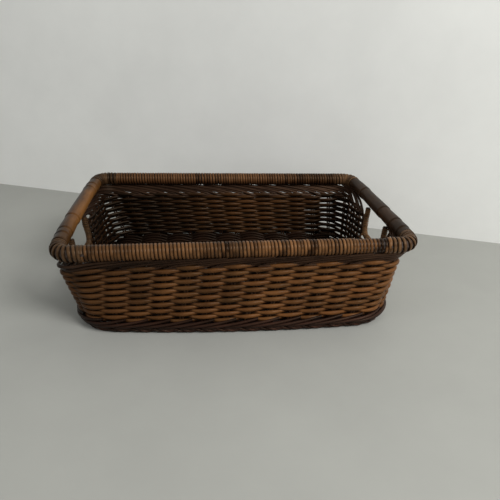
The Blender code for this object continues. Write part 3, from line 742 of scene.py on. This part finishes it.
def barkFinish(name, look):
    material, tree, shader = newMaterial(name)
    objectPlace = objectPlaceOf(tree)
    stretch = addNode(tree, "Mapping")
    stretch.inputs["Scale"].default_value = look["grainScale"]
    linkNodes(tree, (objectPlace, stretch.inputs["Vector"]))
    grain = noiseField(tree, stretch.outputs["Vector"], 1.0, 5.0, 0.65)
    blotch = noiseField(tree, objectPlace, look["blotchesPerMetre"], 4.0)
    tone = attribute(tree, "tone", "Fac")
    paintedShadeAndMarks = attribute(tree, "paintedShadeAndMarks", "Fac")
    shade = times(tree, blotch, look["blotchShare"])
    shade = maths(tree, "MULTIPLY_ADD", grain, look["grainShare"], shade)
    tone = maths(tree, "MULTIPLY_ADD", tone, look["toneShare"], -look["toneShare"] / 2)
    shade = maths(tree, "ADD", shade, tone, clamp=True)
    colour = ramp(tree, shade, zip(look["rampPlaces"], (look["dark"], look["mid"], look["light"])))
    # The colour is darkened by the painted shade in the grooves and by the duller ends
    colour = mixColour(tree, 1.0, colour, greyOf(tree, paintedShadeAndMarks), "MULTIPLY")
    gloss = maths(tree, "MULTIPLY_ADD", blotch, look["glossSpread"], look["gloss"])
    linkNodes(tree, (colour, shader.inputs["Base Color"]), (gloss, shader.inputs["Roughness"]))
    addShine(shader, look)
    addBump(tree, shader, grain, look)
    return material


barkLook = {
    "grainScale": (420.0, 26.0, 420.0), "grainShare": 0.45, "blotchesPerMetre": 32.0, "blotchShare": 0.5,
    "toneShare": 0.5, "rampPlaces": (0.22, 0.48, 0.78), "glossSpread": 0.25,
    "shine": 0.12, "shineTint": (1.0, 0.74, 0.50, 1.0), "bump": 0.35, "bumpDistance": 0.0004,
}
# The two barks are a lit and a shaded copy of one bark: painted light on the left handle, painted shade on
# the right
leftPaintedLitBark = barkFinish("goldenPaintedLitBark", {
    **barkLook, "gloss": 0.24,
    "dark": (0.010, 0.0045, 0.0022), "mid": (0.056, 0.0225, 0.0072), "light": (0.180, 0.076, 0.021)})
rightPaintedShadeBark = barkFinish("dullPaintedShadeBark", {
    **barkLook, "gloss": 0.30,
    "dark": (0.008, 0.004, 0.0022), "mid": (0.034, 0.0155, 0.0068), "light": (0.095, 0.048, 0.023)})


def makeHandle(name, node, xSide, bands, finish, seed):
    places, faces, tones, shows = [], [], [], []
    sides, rings = handles["sides"], handles["rings"]
    centreX, centreZ = xSide * basket["rimLine"][0] / 2, basket["rimLineHeight"]

    def ringPoint(radius, angle, y):
        return handBent(Vector((centreX + radius * cos(angle), y, centreZ + radius * sin(angle))))
    for ringCount in range(rings + 1):
        y = -handles["half"] + 2 * handles["half"] * ringCount / rings
        for side in range(sides):
            angle = 2 * pi * side / sides
            # A band's edge runs a little askew, and its radius falls towards the next band
            askew = handles["askew"] * sin(angle + seed + y * handles["askewPerMetre"])
            band = max(count for count, edge in enumerate(bands) if edge <= y + askew or count == 0)
            band = min(band, len(bands) - 2)
            into = y + askew - bands[band]
            fall = min(1, max(0, into) / (bands[band + 1] - bands[band]))
            radius = handles["outer"] - handles["clearance"] - handles["step"] * fall
            groove = exp(-(into / handles["grooveWidth"]) ** 2)
            radius -= handles["groove"] * groove
            radius += handles["uneven"] * wander(y * 70 + 3 * cos(angle), seed + sin(angle))
            places.append(ringPoint(radius, angle, y))
            # Painted light: the inner side of each handle is lighter, much more so on the left handle
            inner = -xSide * cos(angle) * handles["leftInnerPaintedLight" if xSide < 0 else "rightInnerPaintedLight"]
            tones.append(handles["tone"] + handles["toneVary"] * wander(band * 2.3, seed + 4) + inner)
            # Painted shade in the groove at each band's edge, and duller towards the ends
            paintedShadeAndMarks = 1.0 - handles["groovePaintedShade"] * groove
            for start, heading, depth in handles["dullEnds"]:
                paintedShadeAndMarks *= 1 - depth * min(1, max(0, heading * (y - start) / handles["dullLength"]))
            shows.append(paintedShadeAndMarks)
    for ringCount in range(rings):
        for side in range(sides):
            first, after = ringCount * sides, (side + 1) % sides
            faces.append((first + side, first + after, first + sides + after, first + sides + side))
    # The ends close down to the pole
    for end, ringCount in ((-1, 0), (1, rings)):
        base = len(places)
        for side in range(sides):
            angle = 2 * pi * side / sides
            places.append(ringPoint(handles["bore"], angle, end * handles["half"]))
            tones.append(handles["endTone"])
            shows.append(handles["endShow"])
        for side in range(sides):
            after = (side + 1) % sides
            outer = ringCount * sides
            face = (outer + side, outer + after, base + after, base + side)
            faces.append(face if end > 0 else face[::-1])
        faces.append(tuple(range(base, base + sides))[::1 if end < 0 else -1])
    mesh = bpy.data.meshes.new(name)
    mesh.from_pydata(places, [], [face[::-1] for face in faces])
    giveAttribute(mesh, "tone", "FLOAT", tones)
    giveAttribute(mesh, "paintedShadeAndMarks", "FLOAT", shows)
    mesh.materials.append(finish)
    mesh.shade_smooth()
    settle(addObject(name, mesh), "handle_bark", node)


makeHandle("leftHandleBark", "left_handle_cover", -1, handles["leftBands"], leftPaintedLitBark, 1.0)
makeHandle("rightHandleBark", "right_handle_cover", 1, handles["rightBands"], rightPaintedShadeBark, 2.0)
print("handles made")

# Fine cane round the U-shaped rods that edge the hand holes
holeCane = {
    "pitch": 0.0027, "vary": 0.12, "lift": 0.00012, "outer": 0.0043, "thickness": 0.0014, "stepsPerTurn": 12,
    "legReach": 0.0400, "frameHeight": 0.0658, "cornerRadius": 0.012, "cornerSteps": 8, "legTop": 0.1061,
    "legHeights": (0.088, 0.082), "endRoom": 0.0012, "sides": 6,
}


def holeLine(turn):
    reach, radius = holeCane["legReach"], holeCane["cornerRadius"]
    heights = (basket["throatHeight"], *holeCane["legHeights"])
    legs = []
    for along in (-reach, reach):
        throat, outward = wallPlace(turn, basket["throatHeight"], 0, along)
        leg = [(throat + up * (holeCane["legTop"] - basket["throatHeight"]), outward)]
        legs.append(leg + [wallPlace(turn, height, 0, along) for height in heights])
    line = legs[0]
    for side, first in ((-1, pi), (1, 1.5 * pi)):
        for step in range(holeCane["cornerSteps"] + 1):
            angle = first + pi / 2 * step / holeCane["cornerSteps"]
            along = side * (reach - radius) + radius * cos(angle)
            height = holeCane["frameHeight"] + radius + radius * sin(angle)
            line.append(wallPlace(turn, height, 0, along))
    return line + legs[1][::-1]


def alongLine(line):
    # A place function for winding round a bent line
    lengths = [0.0]
    for (before, _), (after, _) in zip(line, line[1:]):
        lengths.append(lengths[-1] + (after - before).length)

    def pointAt(distance):
        distance = min(max(distance, 0), lengths[-1])
        for count in range(len(line) - 1):
            if distance <= lengths[count + 1] or count == len(line) - 2:
                share = (distance - lengths[count]) / max(1e-9, lengths[count + 1] - lengths[count])
                return line[count][0].lerp(line[count + 1][0], share), line[count][1]

    def placeAt(distance):
        place, outward = pointAt(distance)
        direction = (pointAt(distance + 0.002)[0] - pointAt(distance - 0.002)[0]).normalized()
        across = direction.cross(outward).normalized()
        return place, direction, across.cross(direction), across
    return placeAt, lengths[-1]


def makeHoleCane():
    for side, pair, seed in zip(("right", "left"), basket["holePairs"], (50, 60)):
        placeAt, length = alongLine(holeLine(pairTurn(pair)))
        strip = windCane(placeAt, holeCane["endRoom"], length - holeCane["endRoom"], holeCane, seed)
        flatness = holeCane["thickness"] / holeCane["pitch"]
        piece = sweepRods(side + "HoleCane", [strip], holeCaneFinish, holeCane["sides"], flatness)
        settle(piece, "corner_cane", side + "_hole_binding")
    print("hole cane wound")


makeHoleCane()

# Foot border: two twisted strands a side, each of a few fine rods, and a wale of
# slanting rods above them
foot = {
    "height": 0.0055, "twistRadius": 0.0027, "rodRadius": 0.0019, "rodsAbreast": 3, "abreast": 0.0030,
    "twistPairs": 2, "stepsPerTwist": 16, "waleReach": 2.5, "waleRadius": 0.0019,
    "waleFoot": 0.0085, "waleTop": 0.0195, "waleOut": 0.0068, "waleSteps": 12, "waleStart": 0.18,
    "waleSpan": 0.74, "walePower": 0.6, "crestShift": 0.0155, "crown": 0.25, "endRoom": 0.0004,
    "tone": 0.5, "toneVary": 0.5, "waleToneVary": 0.4, "paintedShadeAndMarks": 0.6, "waleShow": 0.5,
    "crestPaintedLight": 0.4, "crestTurn": 0.6,
}


def strandRods(start, end, phase, seed):
    line = stakeLine(foot["height"])
    spacing = outlineLength(line) / basket["stakePairs"]
    twist = foot["twistPairs"] * spacing
    crest = basket["firstPairShare"] * spacing - foot["crestShift"]
    steps = int((end - start) / twist * foot["stepsPerTwist"])
    rods = []
    for abreast in range(foot["rodsAbreast"]):
        shift = (abreast - (foot["rodsAbreast"] - 1) / 2) * foot["abreast"]
        rod = []
        for step in range(steps + 1):
            stop = start + (end - start) * step / steps
            place, outward = outlinePlace(stop, line)
            place = outOfTrue(place, foot["height"])
            angle = -2 * pi * (stop - crest) / twist + pi / 2 + phase
            spoke = outward * cos(angle) + up * sin(angle)
            abeam = up * cos(angle) - outward * sin(angle)
            middle = place + up * foot["height"] + spoke * foot["twistRadius"]
            middle += abeam * shift - spoke * abs(shift) * foot["crown"]
            middle.z = max(middle.z, foot["rodRadius"])
            tone = foot["tone"] + foot["toneVary"] * wander(stop * 18, seed + abreast * 3)
            # Painted light: each twist is lighter where it faces out and a little up
            paintedShadeAndMarks = foot["paintedShadeAndMarks"] + foot["crestPaintedLight"] * max(0, cos(angle - foot["crestTurn"]))
            rod.append((middle, foot["rodRadius"], tone, paintedShadeAndMarks, spoke))
        rods.append(rod)
    return rods


def makeFoot():
    line = stakeLine(foot["height"])
    arc = line[2] * pi / 2
    reaches = [part / 2 - line[2] + arc / 2 for part in line[:2]]
    quarter = outlineLength(line) / 4
    for count, side in enumerate(("front", "right", "back", "left")):
        reach = reaches[count % 2] - foot["endRoom"]
        for name, phase in (("first", 0), ("second", pi)):
            rods = strandRods(count * quarter - reach, count * quarter + reach, phase, count * 5 + phase)
            piece = sweepRods(f"{side}{name.capitalize()}FootStrand", rods, footFinish)
            settle(piece, "foot_rod", f"{side}_{name}_foot_strand")
    rods = []
    for pair in range(basket["stakePairs"]):
        rod = []
        tone = foot["tone"] + foot["waleToneVary"] * wander(pair * 1.3, 70)
        for step in range(foot["waleSteps"] + 1):
            share = step / foot["waleSteps"]
            height = foot["waleFoot"] + (foot["waleTop"] - foot["waleFoot"]) * share
            bulge = sin(pi * min(1, foot["waleStart"] + share * foot["waleSpan"]))
            out = foot["waleOut"] * bulge ** foot["walePower"]
            turn = pairTurn(pair + share * foot["waleReach"])
            place, outward = wallPlace(turn, height, out)
            # Painted shade: each wale rod is lighter in its middle than at its tucked-in ends
            paintedShadeAndMarks = foot["waleShow"] + foot["crestPaintedLight"] * sin(pi * share)
            rod.append((place, foot["waleRadius"], tone, paintedShadeAndMarks, outward))
        rods.append(rod)
    settle(sweepRods("footWale", rods, footFinish), "foot_rod")
    print("foot border made")


makeFoot()

# Base: cross sticks with one rod woven to and fro over and under them
base = {
    "stickRadius": 0.0026, "stickSpacing": 0.043, "stickHeight": 0.0128, "sticks": 9,
    "rowPitch": 0.0052, "rowReach": 0.1301, "swing": 0.0046, "radius": 0.0024, "stepsPerStick": 8,
    "halfLength": 0.2040, "halfWidth": 0.1345, "cornerRadius": 0.046,
    "endRoom": 0.003, "uneven": 0.0004, "stickSteps": 20, "stickSides": 12, "endThinning": 0.2,
    "tone": 0.5, "toneVary": 0.6, "paintedShadeAndMarks": 0.4, "crestPaintedLight": 0.4,
    "stickToneVary": 0.3, "stickShow": 0.6, "easeSteps": 3,
}


def baseReach(place, halfAlong, halfAcross):
    past = abs(place) - (halfAlong - base["cornerRadius"])
    if past <= 0:
        return halfAcross
    return halfAcross - base["cornerRadius"] + sqrt(max(0, base["cornerRadius"] ** 2 - past ** 2))


def makeBase():
    for count in range(base["sticks"]):
        x = (count - (base["sticks"] - 1) / 2) * base["stickSpacing"]
        reach = baseReach(x, base["halfLength"], base["halfWidth"]) + bowAt(x, base["stickHeight"])
        tone = base["tone"] + base["stickToneVary"] * wander(count * 2, 3)
        rod = []
        for step in range(base["stickSteps"] + 1):
            y = -reach + 2 * reach * step / base["stickSteps"]
            place = Vector((x + base["uneven"] * wander(step, count), y, base["stickHeight"]))
            rod.append((place, base["stickRadius"], tone, base["stickShow"], up))
        piece = sweepRods(f"baseStick{count + 1}", [rod], baseFinish, base["stickSides"])
        settle(piece, "base_rod", f"base_stick_{count + 1}")
    rows = int(base["rowReach"] / base["rowPitch"])
    rod = []
    heading = 1
    for row in range(-rows, rows + 1):
        y = row * base["rowPitch"]
        reach = baseReach(y, base["halfWidth"], base["halfLength"]) - base["radius"] - base["endRoom"]
        steps = int(2 * reach / base["stickSpacing"] * base["stepsPerStick"])
        for step in range(steps + 1):
            x = heading * (-reach + 2 * reach * step / steps)
            side = cos(pi * (x / base["stickSpacing"] + row))
            height = base["stickHeight"] + base["swing"] * side
            tone = base["tone"] + base["toneVary"] * wander(x * 4 + row * 2.7, 33)
            # Painted shade: darker where the weaver passes between the sticks, lighter at its crests over and
            # under them
            paintedShadeAndMarks = base["paintedShadeAndMarks"] + base["crestPaintedLight"] * abs(side)
            ease = min(1, min(step, steps - step) / base["easeSteps"])
            bowed = y * (1 + bowAt(x, height) / base["halfWidth"]) + base["uneven"] * wander(x * 20, row)
            radius = base["radius"] * (1 - base["endThinning"] + base["endThinning"] * ease)
            rod.append((Vector((x, bowed, height)), radius, tone, paintedShadeAndMarks, up))
        heading = -heading
    settle(sweepRods("baseWeaver", [rod], baseFinish), "base_rod", "base_weaver")
    print("base made")


makeBase()

# Poles, hole frames and base rails stay as they are, with a wood finish
woodLook = {
    "coarsePerMetre": 60.0, "finePerMetre": 420.0, "coarseShare": 0.6, "fineShare": 0.4,
    "rampPlaces": (0.3, 0.7), "gloss": 0.35, "glossSpread": 0.3, "bump": 0.4, "bumpDistance": 0.0003,
}


def woodFinish(name, dark, light):
    material, tree, shader = newMaterial(name)
    objectPlace = objectPlaceOf(tree)
    coarse = noiseField(tree, objectPlace, woodLook["coarsePerMetre"], 5.0)
    fine = noiseField(tree, objectPlace, woodLook["finePerMetre"], 4.0)
    shade = times(tree, coarse, woodLook["coarseShare"])
    shade = maths(tree, "MULTIPLY_ADD", fine, woodLook["fineShare"], shade)
    colour = ramp(tree, shade, zip(woodLook["rampPlaces"], (dark, light)))
    gloss = maths(tree, "MULTIPLY_ADD", fine, woodLook["glossSpread"], woodLook["gloss"])
    linkNodes(tree, (colour, shader.inputs["Base Color"]), (gloss, shader.inputs["Roughness"]))
    addBump(tree, shader, fine, woodLook)
    return material


poleFinish = woodFinish("poleWood", (0.010, 0.005, 0.003), (0.045, 0.022, 0.011))
railFinish = woodFinish("railWood", (0.010, 0.005, 0.003), (0.050, 0.025, 0.013))
for node in ("front_rim_pole", "back_rim_pole", "left_handle_pole", "right_handle_pole",
             "left_hole_frame", "right_hole_frame", "front_base_rail", "back_base_rail"):
    finish = railFinish if node.endswith("rail") else poleFinish
    for slot in bpy.data.objects[node].material_slots:
        slot.material = finish

# Camera, floor, wall and soft lights
view = {
    "place": (-0.0454, -0.6917, 0.3729), "yaw": -0.1053, "pitch": 0.4372, "roll": 0.0337,
    "lens": 36.0, "sensor": 36.0,
}
yaw, pitch, roll = view["yaw"], view["pitch"], view["roll"]
ahead = Vector((-sin(yaw) * cos(pitch), cos(yaw) * cos(pitch), -sin(pitch)))
level = Vector((cos(yaw), sin(yaw), 0))
above = level.cross(ahead)
right = cos(roll) * level + sin(roll) * above
top = -sin(roll) * level + cos(roll) * above
camera = addObject("camera", bpy.data.cameras.new("camera"))
camera.data.lens = view["lens"]
camera.data.sensor_width = view["sensor"]
turned = Matrix((right, top, -ahead)).transposed().to_4x4()
camera.matrix_world = Matrix.Translation(view["place"]) @ turned
bpy.context.scene.camera = camera

studio = {
    "floorColour": (0.352, 0.352, 0.322), "wallColour": (0.78, 0.78, 0.74), "reach": 4, "wallHeight": 4,
    "wallFoot": (1.72, -1.12),  # how far back the wall stands at its left and right ends
    "cloudsPerMetre": 6.0, "cloudDark": 0.94, "cloudPlaces": (0.35, 0.65), "roughness": 0.7, "shine": 0.2,
    "worldColour": (0.95, 0.97, 1.0, 1.0), "worldStrength": 0.40,
}


def plainSurface(name, corners, colour, openBehind=False):
    mesh = bpy.data.meshes.new(name)
    mesh.from_pydata(corners, [], [(0, 1, 2, 3)])
    material, tree, shader = newMaterial(name)
    cloud = noiseField(tree, objectPlaceOf(tree), studio["cloudsPerMetre"], 5.0)
    darker = tuple(part * studio["cloudDark"] for part in colour)
    clouded = ramp(tree, cloud, zip(studio["cloudPlaces"], (darker, colour)))
    linkNodes(tree, (clouded, shader.inputs["Base Color"]))
    shader.inputs["Roughness"].default_value = studio["roughness"]
    addShine(shader, studio)
    if openBehind:
        # Seen from behind, the wall is left out
        clear = addNode(tree, "BsdfTransparent")
        choice = addNode(tree, "MixShader")
        behind = addNode(tree, "NewGeometry").outputs["Backfacing"]
        seen = addNode(tree, "LightPath").outputs["Is Camera Ray"]
        linkNodes(
            tree, (times(tree, behind, seen), choice.inputs[0]),
            (shader.outputs["BSDF"], choice.inputs[1]), (clear.outputs["BSDF"], choice.inputs[2]),
            (choice.outputs["Shader"], tree.nodes["Material Output"].inputs["Surface"]))
    mesh.materials.append(material)
    surface = addObject(name, mesh)


reach, height = studio["reach"], studio["wallHeight"]
floorCorners = [(-reach, -reach, 0), (reach, -reach, 0), (reach, reach, 0), (-reach, reach, 0)]
leftFoot, rightFoot = zip((-reach, reach), studio["wallFoot"])
wallCorners = [(*leftFoot, 0), (*rightFoot, 0), (*rightFoot, height), (*leftFoot, height)]
plainSurface("paleFloor", floorCorners, studio["floorColour"])
plainSurface("paleWall", wallCorners, studio["wallColour"], openBehind=True)


def softLight(name, place, size, power):
    light = bpy.data.lights.new(name, "AREA")
    light.shape = "SQUARE"
    light.size = size
    light.energy = power
    lamp = addObject(name, light)
    lamp.location = place
    lamp.rotation_euler = (Vector(lightAim) - Vector(place)).to_track_quat("-Z", "Y").to_euler()


lightAim = (0, 0, 0.05)
softLight("windowLight", place=(1.1, -1.3, 1.5), size=0.9, power=40)
softLight("fillLight", place=(-1.4, -1.2, 1.3), size=1.2, power=6)
world = bpy.data.worlds.new("softRoom")
world.use_nodes = True
background = world.node_tree.nodes["Background"]
background.inputs["Color"].default_value = studio["worldColour"]
background.inputs["Strength"].default_value = studio["worldStrength"]
bpy.context.scene.world = world
bpy.context.scene.view_settings.view_transform = "Standard"
print("camera, lights and floor made")
